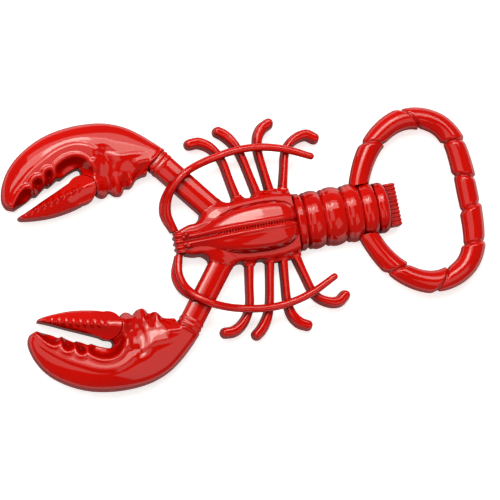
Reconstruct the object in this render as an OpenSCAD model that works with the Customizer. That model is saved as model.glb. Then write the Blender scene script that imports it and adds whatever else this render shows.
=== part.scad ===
// Lobster-shaped cracker: a cast lobster with jointed pincer jaws, a ribbed tail and a ring handle.
// +X runs from the head to the ring, +Y is the lobster's right side, +Z its back; z = 0 is the table.

/* [Shell] */
// Height of the shell's back above the table
shell_top = 15; // [14:0.5:17]
// Radius of the shell's domed back, across its width
shell_dome_r = 13.5; // [13:0.5:16]
// Width of the groove down the middle of the back
back_groove_w = 1.6; // [0.8:0.2:2.4]

/* [Tail] */
// Height of the tail segments' axis above the table
tail_axis_z = 1.5; // [1:0.1:2]
// How far each segment bulges between its two edges
tail_bulge = 0.9; // [0.4:0.1:1.2]
// Width of the flat bar that the segments are threaded on
spine_w = 9; // [8:0.5:10]

/* [Ring] */
// Thickness of the ring handle's round bar
ring_bar_d = 8.8; // [8:0.2:9]

/* [Limbs] */
// Width of an arm
arm_w = 9.2; // [8.6:0.1:9.4]
// Height of an arm's flat top above the table
arm_top = 9.3; // [9:0.1:9.4]
// Width of a leg's shaft
leg_w = 3.5; // [3:0.1:3.7]
// Height of the legs' tops above the table
leg_top = 6.8; // [6:0.1:6.8]
// Thickness of an antenna
antenna_d = 2.9; // [2.6:0.1:2.9]

/* [Jaws] */
// Height of a claw's crown above the table
claw_top = 12.5; // [12:0.5:14]
// Radius of a finger's round knuckle
knuckle_r = 5.3; // [5:0.1:5.4]
// Space round the moving finger
finger_gap = 0.3; // [0.2:0.05:0.4]
// Diameter of a finger's pivot pin
pin_d = 3; // [2.6:0.1:3.2]
// Radial play of the pin in the palm
pin_play = 0.05; // [0.02:0.01:0.1]

/* [Hidden] */
$fn = 96;

lacquer = "firebrick";
steel = "silver";
slack = 0.05;    // space left round a joint that is brazed shut
curve_steps = 4; // straight stretches between two neighbouring points of a curve
tall = 40;       // more than any height or width that is cut here
very_long = 200; // more than the cracker's length

// Shell: half of its outline, from the head's flat front to its flat rear
shell_front_x = -26.2;
shell_rear_x = 16.8;
shell_crown_x = 5;
shell_length_r = 79;
shell_side = [[shell_front_x, 4.9], [-23, 5.9], [-20, 6.2], [-17.5, 8], [-13, 10.2], [-7, 11.3],
    [0, 11.9], [8, 12.1], [13, 11.7], [shell_rear_x, 11]];
back_groove_depth = 2.2;

// Nose block and eyes
nose_front_x = -29.3;
nose_w = 8.6;
nose_z = [0.6, 8];
nose_groove_w = 0.8;
nose_groove_y = [-2.2, 0, 2.2];
nose_peg_r = 2;
nose_peg_z = 4;
nose_peg_l = 3;
eye_x = -24.6;
eye_y = 2.2;
eye_z = 9.2;
eye_r = 0.9;
eye_stem_r = 0.5;
eye_stem_l = 2;

// Tail: where each segment ends along X, and the radius of its middle
tail_edges = [shell_rear_x, 20.6, 27.5, 35.5, 42, 47.8, 52.4];
tail_radii = [10.6, 11, 11.1, 11, 10.6, 9.9];
tail_profile_steps = 4;

// Spine bar and the ridged tab at its end
spine_z = [2, 6.5];
spine_start_x = 8;
tab_x = [tail_edges[6], 57];
tab_w = 16.4;
tab_z = [1, 6.5];
tab_ridges = 11;
tab_groove_w = 1;
tab_groove_depth = 0.4;

// Ring: half of its centre line, from the tail's side to the middle of the far bar
ring_z = ring_bar_d / 2;
ring_seat_y = 9.3;
ring_root_x = [39, 48];
ring_tenon_x = [43, 47];
ring_tenon_z = [2.5, 6];
ring_sides = 14;
ring_half = [[42.8, 7.5], [44.3, 12], [47.6, 18.6], [52.6, 25], [59.4, 29.7], [66.3, 31.4],
    [73.1, 30.1], [78.8, 26.4], [82.3, 20.4], [83.7, 12], [84, 0]];

// Arms: the straight line of each arm's axis
arm_base = [-11.5, 8.2];
arm_wrist = [-31.5, 33.7];
arm_bottom = 0.3;
arm_dir = (arm_wrist - arm_base) / norm(arm_wrist - arm_base);
arm_len = norm(arm_wrist - arm_base);
arm_corner_r = 5.6;
collar_from_wrist = 3;

// Claw: the palm with its fixed finger, anticlockwise from the wrist's outer corner
claw_crown = [-52, 36];
claw_dome_r = 17;
claw_length_r = 148;
claw_outer = [[-25.7, 35.2], [-29.5, 38.4], [-34.4, 42.8], [-40, 46.5], [-47, 49.1], [-55, 49.9], [-63, 49.4],
    [-70.5, 47.6], [-77.5, 44.2], [-83.5, 39.4], [-87.3, 33.5], [-89, 27.6], [-88, 23.9], [-85.2, 22.7]];
jaw_line = [[-85.2, 22.7], [-81.5, 24.7], [-78, 26.8], [-72, 29.8], [-66, 32.4], [-60.5, 34]];
palm_end = [[-58.5, 33.1], [-58.4, 31.4], [-60, 30.9]];
palm_inner = [[-54, 24.5], [-50, 25], [-44, 25.6], [-39.5, 26.4], [-36.5, 26.8], [-34.2, 27.2], [-33.6, 29]];
palm_knobs = [[-51.3, 24.6], [-46.6, 24.4], [-42, 26]];
knob_r = 2.7;
knob_z = 5.2;

// Moving finger, anticlockwise from the knuckle's jaw side, closed up by the knuckle's disc
knuckle = [-59.3, 25.6];
finger_top = 10.6;
finger_dome_y = 24;
finger_dome_r = 8.5;
finger_jaw = [[-61, 30.2], [-64, 28.8], [-67, 27.4], [-71, 25.6], [-75, 23.8], [-80, 21.4], [-84.4, 19.7]];
finger_back = [[-84.4, 19.7], [-83.4, 18.5], [-78, 17.8], [-71, 17.8], [-64, 18.9], [-59.3, 20.3]];
plate_z = 4;
plate_lift = 0.1;

// Pivot pin, whose head and spring washer sit in a counterbore under the palm
pin_top = 8.6;
pin_head_r = 2.8;
pin_head_z = [0.3, 1.3];
washer_z = [1.3, 1.8];
washer_r = [1.7, 2.7];
counterbore_r = 3.1;

// Legs: centre line of each, from its socket in the shell to its foot
leg_bottom = 0.6;
foot_r = 2.1;
leg_paths = [
    [[-2, 9], [-2.8, 12.5], [-4.2, 20], [-5.4, 27], [-7.2, 31], [-10, 34.2], [-13.2, 35.9], [-16.4, 35.9]],
    [[5.8, 9], [5.1, 12.5], [3.6, 20], [2.2, 27], [1, 31], [-0.8, 34.5], [-3, 37.2], [-5, 38.7]],
    [[10.5, 9], [10.1, 12.5], [9.3, 20], [8.6, 27], [8.7, 31], [9.7, 34.6], [11.7, 37.2], [14.3, 38.6]],
    [[14, 9], [14.9, 12.5], [16.8, 20], [18.4, 26], [20.4, 29.3], [24, 31.5], [27.6, 32], [30.4, 30.2]]];
leg_socket_l = 4;

// Antennae: centre line of each, from the nose block over the arm and the legs
antenna_sides = 8;
antenna_tip = 0.55;
antenna_path = [[-27.6, 2.6, 5], [-28.6, 6, 5.3], [-29.7, 11, 6.3], [-29, 15.5, 7.8], [-27.2, 19, 9.9],
    [-24, 22.3, 11.1], [-20, 25, 11.1], [-15, 27, 9.8], [-9, 28.6, 8.5], [-2, 29.8, 8.35], [5, 30, 8.35],
    [12, 29, 8.35], [19, 26.8, 8.35], [27, 23, 8.35]];

// Point at t (0 to 1) on the smooth curve from b to c, with neighbours a and d
function spline(a, b, c, d, t) =
    0.5 * (2 * b + (c - a) * t + (2 * a - 5 * b + 4 * c - d) * t * t + (3 * b - a - 3 * c + d) * t * t * t);

function pick(points, i) = points[min(max(i, 0), len(points) - 1)];

// Smooth curve through the points
function curve(points) = concat(
    [for (i = [0 : len(points) - 2], k = [0 : curve_steps - 1])
        spline(pick(points, i - 1), points[i], points[i + 1], pick(points, i + 2), k / curve_steps)],
    [points[len(points) - 1]]);

function reversed(points) = [for (i = [len(points) - 1 : -1 : 0]) points[i]];
function mirrored(points) = [for (p = points) [p[0], -p[1]]];
function heading(path, i) = let (d = pick(path, i + 1) - pick(path, i - 1)) d / norm(d);

// One edge of a band of half width w along a flat path; a negative w gives the other edge
function edge(path, w) = [for (i = [0 : len(path) - 1])
    let (d = heading(path, i)) path[i] + w * [-d[1], d[0]]];

// Corners of the section at point i of a path in space
function section(path, i, sides, r) =
    let (d = heading(path, i), side = cross([0, 0, 1], d) / norm(cross([0, 0, 1], d)), up = cross(d, side))
    [for (k = [0 : sides - 1]) path[i] + r * (cos(360 * k / sides) * side + sin(360 * k / sides) * up)];

// Round bar along a path in space, whose last section shrinks to the factor tip
module bar_along(path, sides, r, tip = 1) {
    last = len(path) - 1;
    points = [for (i = [0 : last]) each section(path, i, sides, i == last ? r * tip : r)];
    walls = [for (i = [0 : last - 1], k = [0 : sides - 1]) let (next = (k + 1) % sides)
        [(i + 1) * sides + k, (i + 1) * sides + next, i * sides + next, i * sides + k]];
    start_cap = [for (k = [0 : sides - 1]) k];
    end_cap = [for (k = [0 : sides - 1]) last * sides + sides - 1 - k];
    polyhedron(points, concat(walls, [start_cap, end_cap]));
}

// A box between two corners
module block(low, high) {
    translate(low) cube(high - low);
}

// Draws its children for the right side (+Y), or mirrored for the left
module on_side(side) {
    if (side == "right") children();
    else mirror([0, 1, 0]) children();
}

// Both sides at once
module on_both_sides() {
    children();
    mirror([0, 1, 0]) children();
}

module carapace() color(lacquer) difference() {
    intersection() {
        linear_extrude(shell_top) polygon(concat(curve(shell_side), reversed(mirrored(curve(shell_side)))));
        translate([shell_front_x, 0, shell_top - shell_dome_r]) rotate([0, 90, 0])
            cylinder(r = shell_dome_r, h = shell_rear_x - shell_front_x);
        translate([shell_crown_x, 0, shell_top - shell_length_r]) rotate([90, 0, 0])
            cylinder(r = shell_length_r, h = tall, center = true);
    }
    back_groove();
    block([spine_start_x - slack, -spine_w / 2 - slack, spine_z[0] - slack],
        [shell_rear_x + 1, spine_w / 2 + slack, spine_z[1] + slack]);
    nose_peg(slack);
    on_both_sides() {
        arm_bar(slack);
        eye(slack);
        for (path = leg_paths) leg_socket(path);
    }
}

// Groove down the middle of the back, following its curve
module back_groove() {
    translate([shell_crown_x, 0, shell_top - shell_length_r]) rotate([90, 0, 0])
        rotate_extrude() translate([shell_length_r - back_groove_depth, 0])
            rotate(-90) polygon([[-back_groove_w / 2, 2 * back_groove_depth], [0, 0],
                [back_groove_w / 2, 2 * back_groove_depth]]);
}

module nose_block() color(lacquer) {
    difference() {
        block([nose_front_x, -nose_w / 2, nose_z[0]], [shell_front_x, nose_w / 2, nose_z[1]]);
        for (y = nose_groove_y)
            translate([nose_front_x - 1, y, nose_z[1]]) rotate([45, 0, 0])
                cube([tall, nose_groove_w, nose_groove_w]);
        on_both_sides() antenna_rod(slack);
    }
    nose_peg(0);
}

// Peg that holds the nose block to the shell
module nose_peg(grow) {
    translate([shell_front_x - grow, 0, nose_peg_z]) rotate([0, 90, 0])
        cylinder(r = nose_peg_r + grow, h = nose_peg_l + 2 * grow);
}

// An eye: a ball on a stem that goes into the shell
module eye(grow = 0) color(lacquer) translate([eye_x, eye_y, eye_z]) {
    sphere(r = eye_r + grow);
    translate([0, 0, -eye_r - eye_stem_l]) cylinder(r = eye_stem_r + grow, h = eye_stem_l + eye_r);
}

// Tail segment number i, a barrel cut flat at the table
module tail_segment(i) color(lacquer) difference() {
    length = tail_edges[i + 1] - tail_edges[i];
    profile = [for (k = [0 : tail_profile_steps])
        let (u = k / tail_profile_steps) [tail_radii[i] - tail_bulge * pow(2 * u - 1, 2), u * length]];
    translate([tail_edges[i], 0, tail_axis_z]) rotate([0, 90, 0])
        rotate_extrude() polygon(concat([[0, 0]], profile, [[0, length]]));
    block([tail_edges[i] - 1, -tall / 2, -tall], [tail_edges[i + 1] + 1, tall / 2, 0]);
    block([tail_edges[i] - 1, -spine_w / 2 - slack, spine_z[0] - slack],
        [tail_edges[i + 1] + 1, spine_w / 2 + slack, spine_z[1] + slack]);
    on_both_sides() {
        block([ring_root_x[0], ring_seat_y, -1], [ring_root_x[1], tall / 2, tall]);
        block([ring_tenon_x[0] - slack, 0, ring_tenon_z[0] - slack],
            [ring_tenon_x[1] + slack, tall / 2, ring_tenon_z[1] + slack]);
    }
}

// Flat bar that holds the tail together, with the ridged tab at its end
module spine_tongue() color(lacquer) {
    block([spine_start_x, -spine_w / 2, spine_z[0]], [tab_x[0], spine_w / 2, spine_z[1]]);
    difference() {
        block([tab_x[0], -tab_w / 2, tab_z[0]], [tab_x[1], tab_w / 2, tab_z[1]]);
        for (k = [1 : tab_ridges - 1])
            translate([tab_x[0] - 1, tab_w * (k / tab_ridges - 0.5), tab_z[1] - tab_groove_depth])
                rotate([45, 0, 0]) cube([tall, tab_groove_w, tab_groove_w]);
    }
}

module ring_handle() color(lacquer) {
    half = [for (p = curve(ring_half)) [p[0], p[1], ring_z]];
    other = [for (i = [len(half) - 2 : -1 : 0]) [half[i][0], -half[i][1], ring_z]];
    difference() {
        bar_along(concat(half, other), ring_sides, ring_bar_d / 2);
        block([0, -ring_seat_y, -1], [ring_root_x[1] + 2, ring_seat_y, tall]);
    }
    on_both_sides()
        block([ring_tenon_x[0], spine_w / 2, ring_tenon_z[0]],
            [ring_tenon_x[1], ring_seat_y, ring_tenon_z[1]]);
}

// Straight bar of an arm, with rounded corners and a flat top; grow widens it into its own socket
module arm_bar(grow) {
    translate([arm_base[0], arm_base[1], 0] - grow * [arm_dir[0], arm_dir[1], 0])
        rotate([0, 0, atan2(arm_dir[1], arm_dir[0])]) rotate([90, 0, 90])
            linear_extrude(arm_len + 2 * grow) arm_profile(grow);
}

module arm_profile(grow) intersection() {
    translate([-arm_w / 2 - grow, arm_bottom - grow])
        square([arm_w + 2 * grow, arm_top - arm_bottom + 2 * grow]);
    translate([0, (arm_top + arm_bottom) / 2]) circle(r = arm_corner_r + grow);
}

module arm() color(lacquer) arm_bar(0);

// A claw: the palm with its fixed finger, the collar round the wrist and the plate under the knuckle
module claw() color(lacquer) difference() {
    union() {
        intersection() {
            linear_extrude(claw_top) polygon(concat(curve(claw_outer), jaw_line, palm_end, palm_inner));
            translate([0, claw_crown[1], claw_top - claw_dome_r]) rotate([0, 90, 0])
                cylinder(r = claw_dome_r, h = very_long, center = true);
            translate([claw_crown[0], claw_crown[1], claw_top - claw_length_r])
                sphere(r = claw_length_r);
        }
        for (p = palm_knobs) translate([p[0], p[1], knob_z]) sphere(r = knob_r);
        translate([knuckle[0], knuckle[1], 0]) cylinder(r = knuckle_r, h = plate_z);
    }
    translate([knuckle[0], knuckle[1], plate_z]) cylinder(r = knuckle_r + finger_gap, h = tall);
    translate([knuckle[0], knuckle[1], -1]) cylinder(r = pin_d / 2 + pin_play, h = tall);
    translate([knuckle[0], knuckle[1], -1]) cylinder(r = counterbore_r, h = 1 + washer_z[1]);
    arm_bar(slack);
}

// The moving finger: half-lapped over the plate, and solid to the table beyond it
module moving_finger() color(lacquer) difference() {
    union() {
        intersection() {
            linear_extrude(finger_top) polygon(concat(curve(finger_jaw), curve(finger_back), [knuckle]));
            translate([0, finger_dome_y, finger_top - finger_dome_r]) rotate([0, 90, 0])
                cylinder(r = finger_dome_r, h = very_long, center = true);
        }
        translate([knuckle[0], knuckle[1], plate_z + plate_lift])
            cylinder(r = knuckle_r, h = finger_top - plate_z - plate_lift);
    }
    translate([knuckle[0], knuckle[1], -1])
        cylinder(r = knuckle_r + finger_gap, h = 1 + plate_z + plate_lift);
    translate([knuckle[0], knuckle[1], 0]) cylinder(r = pin_d / 2, h = pin_top);
}

// Pivot pin: pressed into the finger from below, with a head under the palm's plate
module finger_pin() color(steel) translate([knuckle[0], knuckle[1], 0]) {
    translate([0, 0, pin_head_z[0]]) cylinder(r = pin_head_r, h = pin_head_z[1] - pin_head_z[0]);
    translate([0, 0, pin_head_z[0]]) cylinder(r = pin_d / 2, h = pin_top - pin_head_z[0]);
}

// Spring washer between the pin's head and the palm's plate
module spring_washer() color(steel) translate([knuckle[0], knuckle[1], washer_z[0]])
    difference() {
        cylinder(r = washer_r[1], h = washer_z[1] - washer_z[0]);
        translate([0, 0, -1]) cylinder(r = washer_r[0], h = 2 + washer_z[1]);
    }

// Leg with a rounded foot, standing on its flat underside
module leg(path) color(lacquer) translate([0, 0, leg_bottom]) {
    line = curve(path);
    foot = line[len(line) - 1];
    linear_extrude(leg_top - leg_bottom)
        polygon(concat(edge(line, leg_w / 2), reversed(edge(line, -leg_w / 2))));
    translate([foot[0], foot[1], 0]) cylinder(r = foot_r, h = leg_top - leg_bottom);
}

// Socket in the shell's side for the root of a leg
module leg_socket(path) {
    root = path[0];
    way = path[1] - path[0];
    translate([root[0], root[1], leg_bottom - slack]) rotate([0, 0, atan2(way[1], way[0])])
        translate([-slack, -leg_w / 2 - slack, 0])
            cube([leg_socket_l, leg_w + 2 * slack, leg_top - leg_bottom + 2 * slack]);
}

// Antenna, and its socket in the nose block when it grows
module antenna_rod(grow) {
    bar_along(curve(antenna_path), antenna_sides, antenna_d / 2 + grow, antenna_tip);
}

module antenna() color(lacquer) antenna_rod(0);

carapace();
nose_block();
on_side("right") eye();  // right_eye
on_side("left") eye();  // left_eye
for (i = [0 : len(tail_radii) - 1])
    tail_segment(i);
spine_tongue();
ring_handle();
for (side = ["right", "left"]) {
    on_side(side) arm();
    on_side(side) claw();
    on_side(side) moving_finger();
    on_side(side) finger_pin();
    on_side(side) spring_washer();
    for (i = [0 : len(leg_paths) - 1])
        on_side(side) leg(leg_paths[i]);
    on_side(side) antenna();
}
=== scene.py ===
"""Looks of the lobster cracker.

Every casting is described by a field: a function of x, y and z in millimetres whose value is about the
distance to the casting's surface, below 0 inside. The fields are meshed here and stand for the CAD nodes.
Right-hand pieces are sculpted, and left-hand pieces are their mirror images.
"""
import math
from concurrent.futures import ThreadPoolExecutor

import bpy
import numpy as np
import openvdb
from mathutils import Matrix, Vector


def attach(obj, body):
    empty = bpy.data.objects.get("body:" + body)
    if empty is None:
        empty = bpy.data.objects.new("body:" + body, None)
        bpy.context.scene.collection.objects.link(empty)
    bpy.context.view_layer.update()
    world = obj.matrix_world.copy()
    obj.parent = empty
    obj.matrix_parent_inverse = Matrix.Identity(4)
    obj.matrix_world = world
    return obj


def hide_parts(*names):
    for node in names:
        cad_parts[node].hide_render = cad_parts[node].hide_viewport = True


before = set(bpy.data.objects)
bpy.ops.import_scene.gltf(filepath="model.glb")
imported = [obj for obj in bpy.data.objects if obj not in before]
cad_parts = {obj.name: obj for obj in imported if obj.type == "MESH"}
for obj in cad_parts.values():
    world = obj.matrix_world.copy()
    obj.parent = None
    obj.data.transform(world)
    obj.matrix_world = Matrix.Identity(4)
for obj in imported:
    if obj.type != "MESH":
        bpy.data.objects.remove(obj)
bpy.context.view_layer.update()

MM = 0.001                          # pieces are sculpted in millimetres, and Blender works in metres
STEP = 0.34  # spacing of the meshing grid


# ---------------------------------------------------------------- camera and studio

# Each softbox: its name, its place and size in metres, and its power in watts
SOFTBOXES = [
    ("back_panel", (-0.02, 0.315, 0.70), (1.00, 0.27), 3.3),
    ("far_panel", (-0.02, 0.56, 0.70), (1.00, 0.24), 1.5),
    ("front_panel", (0.24, -0.39, 0.72), (0.52, 0.52), 0.85),
    ("back_strip", (-0.09, 0.36, 0.66), (0.40, 0.13), 1.2),
    ("head_panel", (-0.40, 0.0, 0.72), (0.40, 0.90), 1.3),
]
WARM_WHITE = (1.0, 0.97, 0.89)
WHITE = (1, 1, 1)
HORIZON = (0.17, 0.17, 0.17)
OVERHEAD = (0.05, 0.05, 0.05)
FLOOR_HALF = 3.0      # metres
FLOOR_Z = -0.00005    # metres: a hair below the object's foot
FLOOR_GREY = (0.8, 0.8, 0.8)
FLOOR_GLOW = 0.65


def make_camera():
    """Nearly straight down, from a little towards the head, turned so that the head lies lower left."""
    target = Vector((-0.0010, -0.0068, 0.0))
    away = Vector((-0.15, -0.105, 1.0)).normalized()
    distance = 0.9
    image_up = Vector((0.192, 0.981, 0.0))
    camera_data = bpy.data.cameras.new("camera")
    camera_data.lens = 173.3
    camera = bpy.data.objects.new("camera", camera_data)
    bpy.context.scene.collection.objects.link(camera)
    forward = -away
    right = forward.cross(image_up).normalized()
    up = right.cross(forward).normalized()
    place = Matrix((right, up, away)).transposed().to_4x4()
    place.translation = target + distance * away
    camera.matrix_world = place
    bpy.context.scene.camera = camera


def softbox(name, place, size, power):
    """A rectangular light that faces the object."""
    light = bpy.data.lights.new(name, "AREA")
    light.shape = "RECTANGLE"
    light.size, light.size_y = size
    light.energy = power
    light.color = WARM_WHITE
    obj = bpy.data.objects.new(name, light)
    bpy.context.scene.collection.objects.link(obj)
    obj.location = place
    obj.rotation_euler = (-obj.location).to_track_quat("-Z", "Y").to_euler()


def soft_sky():
    """A dim world, darker straight overhead than at the horizon."""
    world = bpy.data.worlds.new("studio")
    world.use_nodes = True
    nodes, links = world.node_tree.nodes, world.node_tree.links
    place = nodes.new("ShaderNodeTexCoord")
    split = nodes.new("ShaderNodeSeparateXYZ")
    links.new(place.outputs["Generated"], split.inputs["Vector"])
    shade = two_tone(nodes, links, split.outputs["Z"], 0, HORIZON, 1, OVERHEAD)
    links.new(shade, nodes["Background"].inputs["Color"])
    bpy.context.scene.world = world


def pale_floor():
    """A big plain floor that glows a little, so that it stays white round the object."""
    material, nodes, _ = new_material("pale_floor")
    shader = nodes["Principled BSDF"]
    shader.inputs["Base Color"].default_value = (*FLOOR_GREY, 1)
    shader.inputs["Roughness"].default_value = 0.5
    shader.inputs["Emission Color"].default_value = (*WHITE, 1)
    shader.inputs["Emission Strength"].default_value = FLOOR_GLOW
    mesh = bpy.data.meshes.new("floor")
    corners = [(sx * FLOOR_HALF, sy * FLOOR_HALF, 0) for sx, sy in ((-1, -1), (1, -1), (1, 1), (-1, 1))]
    mesh.from_pydata(corners, [], [(0, 1, 2, 3)])
    mesh.materials.append(material)
    floor = bpy.data.objects.new("floor", mesh)
    bpy.context.scene.collection.objects.link(floor)
    floor.location.z = FLOOR_Z


# ---------------------------------------------------------------- materials

DEEP_RED = (0.58, 0.0025, 0.0002)
CLEAR_RED = (0.68, 0.004, 0.0004)
# What the red is multiplied by, as painted shade, in a hollow, in a crevice and on an upright wall
PAINTED_HOLLOW_SHADE = (0.68, 0.6, 0.6)
PAINTED_CREVICE_SHADE = (0.40, 0.25, 0.25)
PAINTED_WALL_SHADE = (0.38, 0.3, 0.3)
CREVICE_REACH = 0.004   # metres
CREVICE_SAMPLES = 8
PEEL_SCALE = 900.0      # orange peel
PEEL_STRENGTH = 0.02
PEEL_HEIGHT = 0.0001    # metres
DARK_STEEL = (0.50, 0.50, 0.51)
BRIGHT_STEEL = (0.72, 0.72, 0.73)
MARK_SCALE = 2500.0     # turning marks


def new_material(name):
    material = bpy.data.materials.new(name)
    material.use_nodes = True
    return material, material.node_tree.nodes, material.node_tree.links


def two_tone(nodes, links, value, low, low_color, high, high_color):
    """Turns a value into a colour: low_color up to low, high_color from high on, blended between."""
    node = nodes.new("ShaderNodeValToRGB")
    first, last = node.color_ramp.elements
    first.position = low
    first.color = (*low_color, 1)
    last.position = high
    last.color = (*high_color, 1)
    links.new(value, node.inputs["Fac"])
    return node.outputs["Color"]


def spread(nodes, links, value, low, high, from_low=0.0, from_high=1.0):
    """Maps from_low..from_high to low..high."""
    node = nodes.new("ShaderNodeMapRange")
    node.inputs["From Min"].default_value = from_low
    node.inputs["From Max"].default_value = from_high
    node.inputs["To Min"].default_value = low
    node.inputs["To Max"].default_value = high
    links.new(value, node.inputs["Value"])
    return node.outputs["Result"]


def multiply(nodes, links, first, second):
    node = nodes.new("ShaderNodeMix")
    node.data_type = "RGBA"
    node.blend_type = "MULTIPLY"
    node.inputs["Factor"].default_value = 1.0
    links.new(first, node.inputs["A"])
    links.new(second, node.inputs["B"])
    return node.outputs["Result"]


def noise(nodes, links, place, scale, detail):
    node = nodes.new("ShaderNodeTexNoise")
    node.inputs["Scale"].default_value = scale
    node.inputs["Detail"].default_value = detail
    links.new(place.outputs["Object"], node.inputs["Vector"])
    return node.outputs["Fac"]


def levelness(nodes, links, place):
    """1 where the surface lies flat, 0 on an upright wall. It turns with a moving piece."""
    facing = nodes.new("ShaderNodeSeparateXYZ")
    links.new(place.outputs["Normal"], facing.inputs["Vector"])
    upright = nodes.new("ShaderNodeMath")
    upright.operation = "ABSOLUTE"
    links.new(facing.outputs["Z"], upright.inputs[0])
    return upright.outputs["Value"]


def openness(nodes):
    """1 in the open, less where other surface stands close by."""
    node = nodes.new("ShaderNodeAmbientOcclusion")
    node.samples = CREVICE_SAMPLES
    node.inputs["Distance"].default_value = CREVICE_REACH
    return node.outputs["AO"]


def lacquer(name, flow_scale):
    """Red lacquer under a clear coat, with painted shade in hollows and crevices and on upright walls."""
    material, nodes, links = new_material(name)
    shader = nodes["Principled BSDF"]
    place = nodes.new("ShaderNodeTexCoord")
    shape = nodes.new("ShaderNodeNewGeometry")
    flow = noise(nodes, links, place, flow_scale, detail=3.0)
    level = levelness(nodes, links, place)

    color = two_tone(nodes, links, flow, 0.3, DEEP_RED, 0.7, CLEAR_RED)
    # Painted shade: the red is darkened in hollows, in crevices where other surface stands close, and on
    # upright walls
    for measure, low, shade, high in (
        (shape.outputs["Pointiness"], 0.44, PAINTED_HOLLOW_SHADE, 0.50),
        (openness(nodes), 0.15, PAINTED_CREVICE_SHADE, 0.8),
        (level, 0.25, PAINTED_WALL_SHADE, 0.65),
    ):
        color = multiply(nodes, links, color, two_tone(nodes, links, measure, low, shade, high, WHITE))
    links.new(color, shader.inputs["Base Color"])

    orange_peel = nodes.new("ShaderNodeBump")
    orange_peel.inputs["Strength"].default_value = PEEL_STRENGTH
    orange_peel.inputs["Distance"].default_value = PEEL_HEIGHT
    links.new(noise(nodes, links, place, PEEL_SCALE, detail=1.0), orange_peel.inputs["Height"])
    links.new(orange_peel.outputs["Normal"], shader.inputs["Normal"])

    links.new(spread(nodes, links, flow, 0.20, 0.28), shader.inputs["Roughness"])
    links.new(spread(nodes, links, level, 0.15, 1.0, 0.3, 0.7), shader.inputs["Coat Weight"])
    shader.inputs["Coat Roughness"].default_value = 0.07
    shader.inputs["Specular IOR Level"].default_value = 0.0
    return material


def turned_steel():
    """Bright steel with fine turning marks."""
    material, nodes, links = new_material("turned_steel")
    shader = nodes["Principled BSDF"]
    shader.inputs["Metallic"].default_value = 1.0
    place = nodes.new("ShaderNodeTexCoord")
    marks = noise(nodes, links, place, MARK_SCALE, detail=2.0)
    tone = two_tone(nodes, links, marks, 0, DARK_STEEL, 1, BRIGHT_STEEL)
    links.new(tone, shader.inputs["Base Color"])
    links.new(spread(nodes, links, marks, 0.22, 0.42), shader.inputs["Roughness"])
    return material


# ---------------------------------------------------------------- fields

TINY = 1e-6            # keeps a divisor above 0
FAR = 1e9              # farther away than anything
CASTING_DRAFT = 0.05   # how much most walls lean in, per millimetre of height
OUTLINE_Z = 3.0        # height at which a leaning wall stands on its outline
CURVE_STEPS = 6        # pieces of a curve between two of its points


def soft_min(a, b, k):
    """The smaller of a and b, with the crease between them rounded over k millimetres."""
    h = np.clip(0.5 + 0.5 * (b - a) / k, 0, 1)
    return b + (a - b) * h - k * h * (1 - h)


def soft_max(a, b, k):
    return -soft_min(-a, -b, k)


def on_table(body, z, edge=0.5):
    """The body, cut flat at z = 0 with a rounded lower edge."""
    return soft_max(body, -z, edge)


def cut_out(body, *holes):
    """The body less the holes."""
    for hole in holes:
        body = np.maximum(body, -hole)
    return body


def bump(distance, width):
    """1 on a line, fading to 0 about two widths away."""
    return np.exp(-(distance / width) ** 2)


def ramp(low, high, value):
    """0 below low, 1 above high, smooth between."""
    t = np.clip((value - low) / (high - low), 0, 1)
    return t * t * (3 - 2 * t)


def through(stations, values, where):
    """A smooth curve of values through the stations, read at where."""
    xs = np.array(stations, float)
    ys = np.array(values, float)
    slopes = np.gradient(ys, xs)
    w = np.clip(where, xs[0], xs[-1])
    i = np.clip(np.searchsorted(xs, w, side="right") - 1, 0, len(xs) - 2)
    h = xs[i + 1] - xs[i]
    t = (w - xs[i]) / h
    return ((2 * t**3 - 3 * t**2 + 1) * ys[i] + (t**3 - 2 * t**2 + t) * h * slopes[i]
            + (3 * t**2 - 2 * t**3) * ys[i + 1] + (t**3 - t**2) * h * slopes[i + 1])


def curve(points):
    """A smooth line through the given points."""
    p = np.array(points, float)
    p = np.vstack([2 * p[0] - p[1], p, 2 * p[-1] - p[-2]])
    out = []
    for i in range(1, len(p) - 2):
        a, b, c, d = p[i - 1:i + 3]
        for k in range(CURVE_STEPS):
            t = k / CURVE_STEPS
            out.append(0.5 * (2 * b + (c - a) * t + (2 * a - 5 * b + 4 * c - d) * t**2
                              + (3 * b - a - 3 * c + d) * t**3))
    out.append(p[-2])
    return np.array(out)


def run_lengths(line):
    """How far along the line each of its points is."""
    return np.concatenate([[0], np.cumsum(np.linalg.norm(np.diff(line, axis=0), axis=1))])


def follow(line, x, y):
    """For each point: its distance to the line, how far along the line that is, and its distance to the
    line's left (above 0) or right (below 0)."""
    best = np.full(np.broadcast(x, y).shape, FAR)
    along = np.zeros(best.shape)
    side = np.zeros(best.shape)
    run = 0.0
    for a, b in zip(line[:-1], line[1:]):
        dx, dy = b - a
        length = math.hypot(dx, dy)
        t = np.clip(((x - a[0]) * dx + (y - a[1]) * dy) / length**2, 0, 1)
        px = x - a[0] - t * dx
        py = y - a[1] - t * dy
        away = np.hypot(px, py)
        closer = away < best
        best = np.where(closer, away, best)
        along = np.where(closer, run + t * length, along)
        side = np.where(closer, np.where(dx * py - dy * px > 0, away, -away), side)
        run += length
    return best, along, side


def distance_to(line, x, y):
    return follow(line, x, y)[0]


def outline_distance(outline, x, y):
    """Signed distance to a closed outline, below 0 inside."""
    closed = np.vstack([outline, outline[:1]])
    inside = np.zeros(np.broadcast(x, y).shape, bool)
    for a, b in zip(closed[:-1], closed[1:]):
        if a[1] != b[1]:
            crosses = (a[1] > y) != (b[1] > y)
            inside ^= crosses & (x < (b[0] - a[0]) * (y - a[1]) / (b[1] - a[1]) + a[0])
    away = distance_to(closed, x, y)
    return np.where(inside, -away, away)


def leaning_wall(outline, x, y, z, draft):
    """A wall round a closed outline, that leans in by draft per millimetre of height."""
    return outline_distance(outline, x, y) + draft * (z - OUTLINE_Z)


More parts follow.
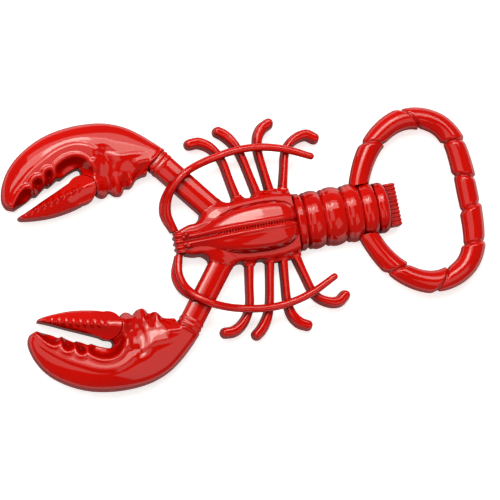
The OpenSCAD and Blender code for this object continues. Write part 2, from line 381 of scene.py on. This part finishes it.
def slab(across, half_width, z, low, high, corner):
    """A bar's section: across is the distance from its middle line; its corners are rounded."""
    dx = np.abs(across) - half_width + corner
    dz = np.abs(z - (low + high) / 2) - (high - low) / 2 + corner
    return np.hypot(np.maximum(dx, 0), np.maximum(dz, 0)) + np.minimum(np.maximum(dx, dz), 0) - corner


def box(x, y, z, low, high):
    """A plain box between two corners."""
    dx, dy, dz = (np.abs(v - (a + b) / 2) - (b - a) / 2 for v, a, b in zip((x, y, z), low, high))
    return np.maximum(dx, np.maximum(dy, dz))


def bar_frame(base, tip, x, y):
    """Distance along and to the left of the straight line from base to tip."""
    way = (tip - base) / np.linalg.norm(tip - base)
    along = (x - base[0]) * way[0] + (y - base[1]) * way[1]
    across = (y - base[1]) * way[0] - (x - base[0]) * way[1]
    return along, across


# ---------------------------------------------------------------- meshing

SURFACE_PASSES = 2     # how often the mesh's points are pulled onto the true surface
NORMAL_REACH = 0.06    # half the distance over which a surface's slope is measured
LEAST_SLOPE = 0.05     # the slope's square is taken to be at least this
OUTSIDE = 10.0         # the field's value beyond the grid


def gradient(field, points):
    """The field's slope at each point."""
    slopes = np.empty_like(points)
    for axis in range(3):
        step = np.zeros(3)
        step[axis] = NORMAL_REACH
        slopes[:, axis] = (field(*(points + step).T) - field(*(points - step).T)) / (2 * NORMAL_REACH)
    return slopes


def mesh_field(field, low, high, step):
    """Meshes where the field is 0 between two corners, with points and normals on the true surface."""
    axes = [np.arange(lo - 2 * step, hi + 3 * step, step) for lo, hi in zip(low, high)]
    x, y, z = np.meshgrid(*axes, indexing="ij", sparse=True)
    shape = tuple(len(axis) for axis in axes)
    values = np.broadcast_to(field(x, y, z), shape).astype(np.float32)
    grid = openvdb.FloatGrid(OUTSIDE)
    grid.copyFromArray(np.ascontiguousarray(values))
    in_steps, quads = grid.convertToQuads(isovalue=0.0)
    points = in_steps.astype(float) * step + np.array([axis[0] for axis in axes])
    for _ in range(SURFACE_PASSES):
        slopes = gradient(field, points)
        move = -field(*points.T) / np.maximum((slopes * slopes).sum(1), LEAST_SLOPE)
        shift = slopes * move[:, None]
        length = np.linalg.norm(shift, axis=1)
        shift *= np.minimum(1, step / 2 / np.maximum(length, TINY))[:, None]  # half a step at most
        points = points + shift
    slopes = gradient(field, points)
    normals = slopes / np.maximum(np.linalg.norm(slopes, axis=1), TINY)[:, None]
    a, b, c = (points[quads[:, corner]] for corner in range(3))
    faces_inward = (np.cross(b - a, c - a) * normals[quads[:, 0]]).sum() < 0
    if faces_inward:
        quads = quads[:, ::-1]
    return points * MM, quads, normals


def add_piece(surface, node, body, material, mirror):
    """Makes the Blender object that stands for a CAD node."""
    points, quads, normals = surface
    if mirror:
        points = points * (1, -1, 1)
        normals = normals * (1, -1, 1)
        quads = quads[:, ::-1]
    mesh = bpy.data.meshes.new(node + "_casting")
    mesh.vertices.add(len(points))
    mesh.vertices.foreach_set("co", points.astype(np.float32).ravel())
    mesh.loops.add(quads.size)
    mesh.loops.foreach_set("vertex_index", quads.astype(np.int32).ravel())
    mesh.polygons.add(len(quads))
    mesh.polygons.foreach_set("loop_start", np.arange(0, quads.size, quads.shape[1], dtype=np.int32))
    mesh.update(calc_edges=True)
    mesh.validate()
    mesh.polygons.foreach_set("use_smooth", np.ones(len(mesh.polygons), bool))
    mesh.normals_split_custom_set_from_vertices(normals.astype(np.float32).tolist())
    mesh.materials.append(material)
    piece = bpy.data.objects.new(node + "_casting", mesh)
    bpy.context.scene.collection.objects.link(piece)
    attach(piece, body)
    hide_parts(node)


# ---------------------------------------------------------------- arm

ARM_BASE = np.array([-11.5, 8.2])
ARM_WRIST = np.array([-31.5, 33.7])
ARM_LENGTH = np.linalg.norm(ARM_WRIST - ARM_BASE)
ARM_HALF = 4.35
ARM_FOOT = 0.3
ARM_CROWN = 9.1
ROOF_CURVE = 0.062   # how the roof falls with the square of the distance from its middle
WRIST_RINGS = (3.4, 5.2)   # how far each raised ring lies from the wrist
WRIST_RING_RISE = 0.3
WRIST_RING_WIDTH = 0.55
SOCKET_LAP = 0.05    # how far an arm reaches into its socket's wall, so that no gap shows


def arm_frame(x, y):
    return bar_frame(ARM_BASE, ARM_WRIST, x, y)


def arm_section(across, z, grow):
    """A straight bar's section with a low arched roof, bigger all round by grow."""
    bar = slab(across, ARM_HALF + grow, z, ARM_FOOT, ARM_CROWN + 0.5, 1.0)
    roof = z - ARM_CROWN - grow + ROOF_CURVE * across**2
    return soft_max(bar, roof, 1.2)


def arm_field(x, y, z):
    """The arm, with two raised rings at the wrist."""
    along, across = arm_frame(x, y)
    to_wrist = ARM_LENGTH - along
    rings = WRIST_RING_RISE * sum(bump(to_wrist - back, WRIST_RING_WIDTH) for back in WRIST_RINGS)
    return np.maximum(arm_section(across, z, rings), np.maximum(-along, -to_wrist))


# ---------------------------------------------------------------- moving finger

KNUCKLE = (-59.3, 25.6)   # the finger turns about an upright pin here
KNUCKLE_R = 5.3           # radius of the finger's round root
SEAM = 0.01               # gap round the root
PLATE_TOP = 4.0           # the claw's plate under the root ends here
PLATE_LIFT = 0.1          # gap between the plate and the root
PIN_R = 1.5
PIN_PLAY = 0.05           # gap between the pin and the plate
PIN_TOP = 8.6
COUNTERBORE_R = 3.1       # recess for the pin's head, in the plate's underside
COUNTERBORE_Z = 1.8

FINGER_DRAFT = 0.04
FINGER_JAW = curve([
    (-61, 30.2), (-64, 28.8), (-67, 27.4), (-71, 25.6), (-75, 23.8), (-80, 21.4), (-84.4, 19.6),
])
FINGER_BACK = curve([(-84.4, 19.6), (-83.4, 18.5), (-78, 17.8), (-71, 17.8), (-64, 18.9), (-59.3, 20.3)])
FINGER_OUTLINE = np.vstack([FINGER_JAW, FINGER_BACK[1:], [KNUCKLE]])
# Where the finger's crest runs and how high it is, as stations in x and the values there
CREST_Y = ([-84.4, -80, -75, -70, -65, -60, -54], [19.2, 20.3, 21.6, 22.9, 24.2, 25.6, 27.0])
CREST_TOP = ([-85, -75, -65, -59, -53], [6.4, 8.1, 9.4, 9.9, 10.1])
CREST_ROUND = 0.5         # how far the jaw's slope rounds off into the crest
JAW_SLOPE = 0.62          # fall per millimetre from the crest to the jaw
BACK_FALL = 4.5           # fall from the crest to the back
BACK_WIDTH = 6            # distance over which the back falls
KNUCKLE_RIM = 0.25        # height of a low rim round the knuckle, KNUCKLE_RIM_R from its middle
KNUCKLE_RIM_R = 7
TOOTH_PITCH = 2.5
TOOTH_HEIGHT = 0.9


def knuckle_distance(x, y):
    return np.hypot(x - KNUCKLE[0], y - KNUCKLE[1])


def finger_relief(x, y):
    """A knobbly crest along the finger and over its knuckle, a flat slope to the jaw and a round back."""
    crest = y - through(*CREST_Y, x)
    to_jaw = np.hypot(np.maximum(crest, 0), CREST_ROUND) - CREST_ROUND
    to_back = 1 - bump(np.maximum(-crest, 0), BACK_WIDTH)
    height = through(*CREST_TOP, x) - JAW_SLOPE * to_jaw - BACK_FALL * to_back
    teeth = 0.5 + 0.5 * np.cos(2 * np.pi * x / TOOTH_PITCH)
    height = height + TOOTH_HEIGHT * teeth * bump(crest - 0.3, 1.0) * ramp(-57, -62, x)
    return height + KNUCKLE_RIM * bump(knuckle_distance(x, y) - KNUCKLE_RIM_R, 2)


def finger_field(x, y, z):
    """The finger, whose root is half-lapped over the claw's plate and takes the pin."""
    knuckle = knuckle_distance(x, y)
    wall = np.minimum(leaning_wall(FINGER_OUTLINE, x, y, z, FINGER_DRAFT), knuckle - KNUCKLE_R)
    edge = 0.05 + 1.3 * ramp(5, 9, knuckle)
    body = on_table(soft_max(z - finger_relief(x, y), wall, edge), z)
    lap = np.maximum(knuckle - KNUCKLE_R - SEAM, z - PLATE_TOP - PLATE_LIFT)
    pin_hole = np.maximum(knuckle - PIN_R, z - PIN_TOP)
    return cut_out(body, lap, pin_hole)


# ---------------------------------------------------------------- claw

CLAW_BACK = curve([
    (-26.2, 34.8), (-29.5, 38.4), (-34.4, 42.8), (-40, 46.5), (-47, 49), (-55, 49.8), (-63, 49.3),
    (-70.5, 47.5), (-77.5, 44.1), (-83.5, 39.3), (-87.3, 33.5), (-88.9, 27.6), (-87.9, 24), (-85.2, 22.7),
])
CLAW_JAW = curve([
    (-82.5, 23.9), (-79.6, 25.3), (-77.6, 26.6), (-76.4, 26.4), (-74.4, 27.8), (-72.4, 29.2),
    (-71.2, 29), (-69.5, 29.9), (-67.6, 31.1), (-66.2, 31), (-63.5, 32.4), (-60.5, 33.6),
])
CLAW_JAW_END = curve([(-59, 33.7), (-58.4, 32.6), (-58.8, 31.3), (-60.5, 30.6)])
CLAW_PALM = curve([
    (-54.6, 23.6), (-53.4, 22.3), (-51.8, 21.7), (-50.3, 22.3), (-49.3, 23.2), (-48.3, 22.4),
    (-47.2, 21.6), (-45.4, 21.5), (-44.2, 22.5), (-43.4, 23.7), (-42.4, 23.7), (-41, 23.7),
    (-39.8, 24.8), (-38.4, 26.4), (-36.2, 27), (-34.4, 27.3), (-33.5, 28.9),
])
CLAW_OUTLINE = np.vstack([CLAW_BACK, CLAW_JAW, CLAW_JAW_END, CLAW_PALM])

# Parts the smooth back from the inner side, which stands a little higher
CREASE = curve([
    (-28.2, 32.6), (-33, 34.6), (-38, 35.5), (-43.5, 35.8), (-48.3, 37.4), (-51.8, 39.6), (-54.8, 41.4),
    (-58.8, 42.5), (-62.8, 42.3), (-66.8, 41.2), (-71.8, 38.7), (-76.8, 35.8), (-81.5, 32), (-84.6, 28.8),
    (-86.2, 25.5),
])
CREASE_STEP = 0.45
# Height along the crease and how far the back falls from it, as stations in x and the values there
CLAW_LEVEL = ([-89, -84, -77, -67, -55, -41, -28], [6.3, 7.1, 8.5, 9.9, 10.6, 10.2, 9.3])
CLAW_DROP = ([-89, -76, -60, -42, -28], [1.2, 2.1, 2.9, 2.9, 1.8])
# Scoops in the fixed finger, open to the jaw: the middle line of each and its radius
POCKETS = [
    (curve([(-82.4, 23.4), (-80.6, 25.6), (-79.4, 26.6)]), 2.5),
    (curve([(-75.0, 27.4), (-74.7, 30.1)]), 2.0),
    (curve([(-70.6, 29.6), (-70.2, 32.7)]), 1.6),
    (curve([(-65.0, 33.4), (-62.8, 34.6), (-60.2, 34.9), (-58.2, 33.9), (-57.2, 31.4)]), 2.6),
]
POCKET_DEPTH = 3.2
POCKET_RIM = 0.6
# Furrows of the palm: the middle line of each, its width and its depth
FURROWS = [
    (curve([(-49.2, 36.6), (-48.3, 34.6), (-48, 32.2), (-48.6, 29.2)]), 2.5, 1.0),
    (curve([(-38.6, 25.4), (-36.6, 27.6), (-33, 28.6)]), 1.5, 1.2),
]
# How the palm's inner edge rises and falls from knob to knob
KNOBS = ([-54, -51.4, -48.6, -46, -43.3, -41, -38.4, -36], [0, 0.8, -0.9, 1.1, -0.9, 1.1, -0.8, 0])
# Ridges of the palm: the middle line of each, its width and its height
PALM_MOUND = (curve([(-37.2, 31.6), (-33.4, 31.9), (-30.4, 31.5)]), 1.5, 0.6)
JAW_RIM = (curve([(-53.3, 34.6), (-53, 32), (-53.9, 29.6)]), 1.2, 0.7)
WRIST_EDGE = 0.5      # how round the claw's upper edge is at the wrist
PALM_EDGE = 2.2       # and beyond it
WRIST_BEAD = 0.45     # height of the bead round the wrist, BEAD_BACK from the arm's end
BEAD_BACK = 1.6


def strip(mark, x, y):
    """Height of a ridge or depth of a furrow that runs along a line."""
    line, width, size = mark
    return size * bump(distance_to(line, x, y), width)


def pocket_edge(x, y):
    """Distance to the nearest pocket's edge, below 0 in a pocket."""
    return np.minimum.reduce([distance_to(line, x, y) - radius for line, radius in POCKETS])


def claw_relief(x, y):
    """Height of the palm's and the fixed finger's top."""
    side = follow(CREASE, x, y)[2]
    rim = distance_to(CLAW_BACK, x, y)
    outer = np.maximum(-side, 0)
    inner = np.maximum(side, 0)
    outward = outer / (outer + rim + TINY)
    height = through(*CLAW_LEVEL, x) - through(*CLAW_DROP, x) * outward**2
    height = height - 0.1 * inner - 0.02 * inner**2
    height = height + CREASE_STEP * ramp(-0.9, 1.1, side) * ramp(-29, -38, x)

    pocket = pocket_edge(x, y)
    height = height + POCKET_RIM * bump(pocket - 0.9, 1.0) * ramp(0.5, 2.5, side)
    height = height - POCKET_DEPTH * ramp(0.5, -2.4, pocket)
    for furrow in FURROWS:
        height = height - strip(furrow, x, y)
    height = height + through(*KNOBS, x) * ramp(30, 24.5, y)
    height = height + strip(PALM_MOUND, x, y)

    by_knuckle = ramp(9.0, 5.6, knuckle_distance(x, y))
    height = height + (finger_relief(x, y) - height) * by_knuckle
    return height + strip(JAW_RIM, x, y)


def claw_field(x, y, z):
    """The claw, with a bead round the wrist, the arm's socket, and the plate that carries the finger."""
    along, across = arm_frame(x, y)
    bead = WRIST_BEAD * bump(along - ARM_LENGTH + BEAD_BACK, 0.6)
    edge = WRIST_EDGE + (PALM_EDGE - WRIST_EDGE) * ramp(ARM_LENGTH - 2, ARM_LENGTH + 5, along)
    wall = leaning_wall(CLAW_OUTLINE, x, y, z, CASTING_DRAFT) - 0.25 * bead
    body = on_table(soft_max(z - claw_relief(x, y) - bead, wall, edge), z)
    knuckle = knuckle_distance(x, y)
    root = np.maximum(knuckle - KNUCKLE_R - SEAM, PLATE_TOP - z)
    plate = np.maximum(knuckle - KNUCKLE_R, np.maximum(z - PLATE_TOP, -z))
    pin_hole = knuckle - PIN_R - PIN_PLAY
    counterbore = np.maximum(knuckle - COUNTERBORE_R, z - COUNTERBORE_Z)
    socket = np.maximum(arm_section(across, z, -SOCKET_LAP), along - ARM_LENGTH)
    return cut_out(np.minimum(cut_out(body, root), plate), pin_hole, counterbore, socket)


# ---------------------------------------------------------------- legs

LEGS = [
    [(-2, 9), (-2.8, 12.5), (-4.2, 20), (-5.4, 27), (-7.2, 31), (-10, 34.2), (-13.2, 35.9), (-16.4, 35.9)],
    [(5.8, 9), (5.1, 12.5), (3.6, 20), (2.2, 27), (1, 31), (-0.8, 34.5), (-3, 37.2), (-5, 38.7)],
    [(10.5, 9), (10.1, 12.5), (9.3, 20), (8.6, 27), (8.7, 31), (9.7, 34.6), (11.7, 37.2), (14.3, 38.6)],
    [(14, 9), (14.9, 12.5), (16.8, 20), (18.4, 26), (20.4, 29.3), (24, 31.5), (27.6, 32), (30.4, 30.2)],
]
LEG_FOOT = 0.6
LEG_TOP = 6.8
LEG_DRAFT = 0.12   # how much each wall leans in, per millimetre of height
LEG_MARGIN = 2.5   # room for a leg's width round its middle line
LEG_HALVES = [2.0, 1.85, 1.72, 1.75, 2.15, 2.1]   # half its width, from root to foot


def leg_field(path):
    """A leg: flat below, rounded on top, and thicker at the foot."""
    line = curve(path)
    total = run_lengths(line)[-1]

    def field(x, y, z):
        away, along, _ = follow(line, x, y)
        half = through([0, 4, 8, total - 12, total - 3, total], LEG_HALVES, along)
        top = LEG_TOP - 0.25 * ramp(total - 10, total, along)
        return slab(away, half + 0.25 - LEG_DRAFT * z, z, LEG_FOOT, top, 1.15)

    return field


# ---------------------------------------------------------------- shell

SHELL_FRONT = -26.2
SHELL_REAR = 16.8
SHELL_SIDE = curve([
    (SHELL_FRONT, 4.9), (-23, 5.9), (-20, 6.2), (-17.5, 8), (-13, 10.2), (-7, 11.3), (0, 11.9), (8, 12.1),
    (13, 11.7), (SHELL_REAR, 11),
])
SHELL_HALF = np.vstack([[(SHELL_FRONT - 4, 4.9)], SHELL_SIDE, [(SHELL_REAR + 4, 11)]])
SHELL_OUTLINE = np.vstack([SHELL_HALF, SHELL_HALF[::-1] * (1, -1)])
# The shield's edge on one side, and its height down the middle as stations in x and the values there
SHIELD_SIDE = curve([
    (-28, 3.4), (-23, 3.2), (-19, 3.3), (-15.5, 4.6), (-12, 6.4), (-7.5, 8.1), (-2, 9), (5, 9.3),
    (9.5, 9), (13, 8.1), (15.4, 6.6), (17, 4.6), (17.8, 2.4), (18, 0),
])
SHIELD_CROWN = (
    [-27, -22, -15, -8, 0, 7, 12, 15.5, 17],
    [8.7, 9.7, 11.9, 13.7, 14.5, 14.6, 14.1, 12.9, 11.7],
)
SHIELD_EDGE = 3.4    # width of the shield's round edge
SHIELD_FALL = 1.7    # how far it has fallen at SHIELD_REACH from the middle
SHIELD_REACH = 9
FLANGE_TOP = 10.8
BEAD_PITCH = 1.05
BEAD_HEIGHT = 0.8
SOCKET_REACH = 4.4   # how far the sockets stand out along an arm or a leg
SOCKET_BOTTOM = 2.5  # where an arm's socket starts, along the arm
SHOULDER_RISE = 0.12   # how far an arm's socket stands proud of the arm
SHOULDER_BLEND = 2.2   # how softly it grows out of the shell
BOSS_HALF = 1.85       # half the width of a leg's socket
BOSS_RISE = 0.05       # how far it stands above the leg
BOSS_BLEND = 2.4
SHELL_EDGE = 1.6       # how round the shell's upper edge is


def shell_relief(x, y):
    """Height of the shell's top: a domed shield on a lower flange, with a beaded groove down the middle."""
    ay = np.abs(y)
    side = follow(SHIELD_SIDE, x, ay)[2]
    flange = FLANGE_TOP - 0.3 * np.maximum(ay - 5, 0) - 2.6 * ramp(-12, -25, x)
    shield = through(*SHIELD_CROWN, x) - SHIELD_FALL * (ay / SHIELD_REACH) ** 1.5
    inward = np.clip(np.maximum(-side, 0) / SHIELD_EDGE, 0, 1)
    height = flange + (shield - flange) * (1 - (1 - inward) ** 3)
    height = height + 0.3 * bump(ay - 1.6, 0.6) - 1.0 * bump(ay, 0.55)
    beads = 0.5 + 0.5 * np.cos(2 * np.pi * x / BEAD_PITCH)
    return height + BEAD_HEIGHT * beads * bump(ay, 0.45) * ramp(-16, -12, x) * ramp(15, 12, x)


def leg_boss(path, x, ay, z):
    """The shell's boss round a leg's root."""
    root, knee = np.array(path[:2], float)
    out, beside = bar_frame(root, knee, x, ay)
    bar = slab(beside, BOSS_HALF, z, LEG_FOOT, LEG_TOP + BOSS_RISE, 1.3)
    return np.maximum(bar, np.maximum(-out, out - SOCKET_REACH))


def shell_field(x, y, z):
    """The shell, with a shoulder round each arm and a boss round each leg."""
    ay = np.abs(y)
    wall = leaning_wall(SHELL_OUTLINE, x, y, z, CASTING_DRAFT)
    body = soft_max(z - shell_relief(x, y), wall, SHELL_EDGE)
    along, across = arm_frame(x, ay)
    shoulder = soft_max(arm_section(across, z, SHOULDER_RISE), along - SOCKET_REACH, 0.3)
    body = soft_min(body, np.maximum(shoulder, -along), SHOULDER_BLEND)
    for path in LEGS:
        body = soft_min(body, leg_boss(path, x, ay, z), BOSS_BLEND)
    body = on_table(body, z)
    body = np.maximum(body, np.maximum(SHELL_FRONT - x, x - SHELL_REAR))
    socket = np.maximum(arm_section(across, z, -SOCKET_LAP), SOCKET_BOTTOM - along)
    return cut_out(body, socket)


# ---------------------------------------------------------------- nose and eyes

NOSE_FRONT = -29.3
NOSE_HALF = 4.3
NOSE_FOOT = 0.6
NOSE_LAP = 0.2       # how far it reaches into the shell, so that no gap shows
NOSE_TOP = 7.8       # at the front
NOSE_SLOPE = 0.5 / 3
NOSE_RIDGE = 0.35
NOSE_PITCH = 2.15
EYE = (-24.6, 2.2, 9.6)
EYE_R = 0.95
STEM_R = 0.5
STEM_MIDDLE = 7.8
STEM_HALF = 1.5


def nose_field(x, y, z):
    """A small block with four ridges that run over its front and top."""
    ridge = NOSE_RIDGE * np.cos(2 * np.pi * y / NOSE_PITCH)
    top = NOSE_TOP + NOSE_SLOPE * (x - NOSE_FRONT) + ridge
    body = soft_max(z - top, NOSE_FRONT + NOSE_RIDGE - ridge - x, 1.2)
    body = soft_max(body, np.abs(y) - NOSE_HALF, 1.2)
    body = on_table(body, z - NOSE_FOOT)
    return np.maximum(body, x - SHELL_FRONT - NOSE_LAP)


def eye_field(x, y, z):
    """A ball on a stem."""
    from_axis = np.hypot(x - EYE[0], y - EYE[1])
    ball = np.hypot(from_axis, z - EYE[2]) - EYE_R
    stem = np.maximum(from_axis - STEM_R, np.abs(z - STEM_MIDDLE) - STEM_HALF)
    return soft_min(ball, stem, 0.3)


# ---------------------------------------------------------------- tail

TAIL_EDGES = [SHELL_REAR, 20.6, 27.5, 35.5, 42, 47.8, 52.4]
TAIL_RADII = [10.9, 11.0, 11.1, 11.0, 10.5, 9.7]
TAIL_AXIS = 1.5      # height of the ribs' axis
TAIL_LAP = 0.1       # how far each rib reaches into the next
TAIL_SQUARE = 2.3    # 2 would be round, more is squarer
TAIL_FLAT = 0.985    # scales the height in a rib's section
RIB_FALL = 0.95      # fall of the radius from a rib's middle to its edges
RIB_EDGE_FALL = 0.25  # and more of it close to the edges
RIM_RISE = 0.2       # a thin rim at a rib's front, RIM_BACK behind its edge
RIM_BACK = 0.8
RIM_GROOVE = 0.15    # the groove behind it, GROOVE_BACK behind the rib's edge
GROOVE_BACK = 1.9
TAB_START = TAIL_EDGES[-1]
TAB_END = 57.0
TAB_HALF = 8.2
TAB_FOOT = 1.0
TAB_TOP = 6.5
TAB_RIDGES = 11
TAB_RIDGE = 0.28
SPINE_LOW = (8.0, -4.5, 2.0)
SPINE_HIGH = (TAB_START + 1, 4.5, 6.5)


def tail_field(i):
    """One rib of the tail: a narrow raised rim in front, then a smooth swelling."""
    start, end = TAIL_EDGES[i:i + 2]
    middle = (start + end) / 2
    half = (end - start) / 2

    def field(x, y, z):
        u = (x - middle) / half
        radius = TAIL_RADII[i] - RIB_FALL * u**2 - RIB_EDGE_FALL * u**6
        radius = radius + RIM_RISE * bump(x - start - RIM_BACK, 0.5)
        radius = radius - RIM_GROOVE * bump(x - start - GROOVE_BACK, 0.6)
        rise = np.maximum(z - TAIL_AXIS, 0) * TAIL_FLAT
        section = (np.abs(y) ** TAIL_SQUARE + rise**TAIL_SQUARE) ** (1 / TAIL_SQUARE) - radius
        body = on_table(section, z, 0.6)
        return np.maximum(body, np.maximum(start - TAIL_LAP - x, x - end - TAIL_LAP))

    return field


def spine_field(x, y, z):
    """The hidden flat bar and the ridged tab at its end."""
    bar = box(x, y, z, SPINE_LOW, SPINE_HIGH)
    ridge = TAB_RIDGE * np.cos(2 * np.pi * y / (2 * TAB_HALF / TAB_RIDGES))
    tab = soft_max(z - TAB_TOP + 0.3 - ridge, x - TAB_END + 0.25 - 0.4 * ridge, 0.6)
    tab = soft_max(tab, np.abs(y) - TAB_HALF, 0.7)
    tab = on_table(tab, z - TAB_FOOT, 0.4)
    return np.minimum(bar, np.maximum(tab, TAB_START - x))


# ---------------------------------------------------------------- ring

RING_HALF = [
    (42.8, 7.5), (44.3, 12), (47.6, 18.6), (52.6, 25), (59.4, 29.7), (66.3, 31.4), (73.1, 30.1),
    (78.8, 26.4), (82.3, 20.4), (83.7, 12),
]
RING_LINE = curve(RING_HALF + [(84.0, 0)] + [(px, -py) for px, py in RING_HALF[::-1]])
RING_LENGTH = run_lengths(RING_LINE)[-1]
RING_Z = 4.4         # height of its middle line
# The bar's radius, as stations along the middle line and the values there
RING_RADIUS = (
    [0, 12, 40, RING_LENGTH / 2, RING_LENGTH - 40, RING_LENGTH - 12, RING_LENGTH],
    [3.7, 3.95, 4.2, 4.2, 4.2, 3.95, 3.7],
)
RING_SEAT = 9.3      # each end stops this far from the middle, inside the tail
RING_END_X = 52      # both ends lie in front of this
# Where each oblique groove crosses the middle line, and how far its outer end lies back along the bar
RING_GROOVES = [((52.0, 24.2), 0.62), ((68.3, 31.2), 0.88), ((82.5, 19.8), -0.3), ((84.0, 6.0), -0.3)]
GROOVE_WIDTH = 0.75
GROOVE_DEPTH = 0.7
BAND_RISE = 0.32     # step in the radius across a groove, either way
BAND_FADE = 5.0      # distance over which it dies away
TENON_LOW = (43, 4.5, 2.5)
TENON_HIGH = (47, 9.5, 6)


def ring_marks():
    """Where each groove lies along the middle line, and its slant, on both sides of the ring."""
    marks = []
    for (gx, gy), slant in RING_GROOVES:
        for sign in (1, -1):
            along = float(follow(RING_LINE, np.array([gx]), np.array([gy * sign]))[1][0])
            marks.append((along, slant * sign))
    return sorted(marks)


RING_MARKS = ring_marks()


def ring_field(x, y, z):
    """A round bar along a D, cut by oblique grooves into overlapping bands like a rope's."""
    away, along, side = follow(RING_LINE, x, y)
    swell = np.zeros(np.shape(along))
    groove = np.zeros(np.shape(along))
    for mark, slant in RING_MARKS:
        gap = along - mark + slant * side
        groove = np.maximum(groove, bump(gap, GROOVE_WIDTH))
        step = np.sign(mark - RING_LENGTH / 2) * np.tanh(gap / 0.5)
        swell = swell + BAND_RISE * np.exp(-np.abs(gap) / BAND_FADE) * step
    radius = through(*RING_RADIUS, along) + swell - GROOVE_DEPTH * groove
    body = on_table(np.hypot(away, z - RING_Z) - radius, z)
    ends = np.where(x < RING_END_X, RING_SEAT - np.abs(y), -FAR)
    tenons = box(x, np.abs(y), z, TENON_LOW, TENON_HIGH)
    return np.minimum(np.maximum(body, ends), tenons)


# ---------------------------------------------------------------- antennae

ANTENNA = curve([
    (-27.6, 2.6, 5), (-28.6, 6, 5.3), (-29.7, 11, 6.3), (-29, 15.5, 7.8), (-27.2, 19, 9.7),
    (-24, 22.3, 11.1), (-20, 25, 11.1), (-15, 27, 9.7), (-9, 28.6, 8.5), (-2, 29.8, 8.35), (5, 30, 8.35),
    (12, 29, 8.35), (19, 26.8, 8.35), (27, 23, 8.35),
])
ANTENNA_PLAN = ANTENNA[:, :2]
ANTENNA_RUN = run_lengths(ANTENNA_PLAN)
ANTENNA_R = 1.45
ANTENNA_THINNING = 0.15   # how much its radius shrinks over the last TIP_LENGTH
TIP_LENGTH = 12
WEB = curve([
    (-27.6, 2.6), (-28.8, 6), (-30.3, 9.5), (-30.8, 12.5), (-30, 16), (-28, 19.2), (-24.8, 22.4), (-21, 25),
])
WEB_HALF = 1.5
WEB_LENGTH = 20
# Height of the web's lower edge, as stations along the antenna and the values there
WEB_FOOT = ([0, 10, 17, 21, 90], [1.0, 1.0, 3.5, 9.0, 9.0])


def antenna_field(x, y, z):
    """A round feeler, whose first loop stands on a deep web."""
    away, along, _ = follow(ANTENNA_PLAN, x, y)
    middle = through(ANTENNA_RUN[::CURVE_STEPS], ANTENNA[::CURVE_STEPS, 2], along)
    radius = ANTENNA_R - ANTENNA_THINNING * ramp(ANTENNA_RUN[-1] - TIP_LENGTH, ANTENNA_RUN[-1], along)
    feeler = np.hypot(away, z - middle) - radius
    foot = through(*WEB_FOOT, along)
    web = slab(distance_to(WEB, x, y), WEB_HALF, z, foot, np.maximum(middle - 0.6, foot + 3.0), 1.0)
    web = np.maximum(web, along - WEB_LENGTH)
    body = soft_min(feeler, web, 0.8)
    return np.maximum(body, NOSE_HALF + 0.02 - y)


# ---------------------------------------------------------------- build

BODY = "frame"
SHELL_SLOT = "red_lacquer_shell"
TAIL_SLOT = "red_lacquer_tail"
RING_SLOT = "red_lacquer_ring"
LIMB_SLOT = "red_lacquer_limbs"
CLAW_SLOT = "red_lacquer_claws"
WORKERS = 4

castings = []   # of each: what mesh_field needs, its slot, and the nodes it stands for, each with its body


def middle_piece(field, node, slot_name, low, high, step=STEP):
    castings.append(((field, low, high, step), slot_name, [(node, BODY, False)]))


def both_sides(field, node, slot_name, low, high, step=STEP, body=BODY):
    """A piece that is sculpted for the right side and mirrored for the left."""
    nodes = [(f"{side}_{node}", body.format(side=side), side == "left") for side in ("right", "left")]
    castings.append(((field, low, high, step), slot_name, nodes))


make_camera()
bpy.context.scene.view_settings.view_transform = "Standard"
soft_sky()
for name, place, size, power in SOFTBOXES:
    softbox(name, place, size, power)
pale_floor()

body_lacquer = lacquer("red_lacquer_body", flow_scale=35.0)
claw_lacquer = lacquer("red_lacquer_claw", flow_scale=28.0)
steel = turned_steel()

middle_piece(shell_field, "carapace", SHELL_SLOT, (SHELL_FRONT, -12.6, 0), (SHELL_REAR, 12.6, 15))
middle_piece(nose_field, "nose_block", SHELL_SLOT, (-29.4, -4.4, 0.5), (SHELL_FRONT, 4.4, 8.8), step=0.25)
both_sides(eye_field, "eye", SHELL_SLOT, (-25.6, 1.2, 6.2), (-23.6, 3.2, 10.6), step=0.2)
for rib in range(len(TAIL_RADII)):
    middle_piece(tail_field(rib), f"tail_segment_{rib + 1}", TAIL_SLOT,
                 (TAIL_EDGES[rib], -11.5, 0), (TAIL_EDGES[rib + 1], 11.5, 12.9))
middle_piece(spine_field, "spine_tongue", TAIL_SLOT, (SPINE_LOW[0], -8.3, 1), (56.8, 8.3, 6.8), step=0.28)
middle_piece(ring_field, "ring_handle", RING_SLOT, (38.5, -35.5, 0), (89, 35.5, 9.2))
both_sides(arm_field, "arm", LIMB_SLOT, (-37, 4, 0), (-6, 38, 10))
both_sides(claw_field, "claw", CLAW_SLOT, (-89.2, 18, 0), (-25, 50, 13.5))
both_sides(finger_field, "moving_finger", CLAW_SLOT, (-85, 17, 0), (-53.5, 31.5, 11), body="{side}_finger")
for number, path in enumerate(LEGS, 1):
    xs, ys = zip(*path)
    both_sides(leg_field(path), f"leg_{number}", LIMB_SLOT,
               (min(xs) - LEG_MARGIN, min(ys) - LEG_MARGIN, 0.5),
               (max(xs) + LEG_MARGIN, max(ys) + LEG_MARGIN, 7), step=0.3)
both_sides(antenna_field, "antenna", LIMB_SLOT, (-31.5, 4, 0.8), (29, 32, 13), step=0.28)

with ThreadPoolExecutor(WORKERS) as pool:
    surfaces = list(pool.map(lambda casting: mesh_field(*casting[0]), castings))
for (_, slot_name, nodes), surface in zip(castings, surfaces):
    material = claw_lacquer if slot_name == CLAW_SLOT else body_lacquer
    for node, body, mirror in nodes:
        add_piece(surface, node, body, material, mirror)

for side in ("right", "left"):
    for part in ("finger_pin", "spring_washer"):
        steel_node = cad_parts[f"{side}_{part}"]
        steel_node.data.materials.clear()
        steel_node.data.materials.append(steel)
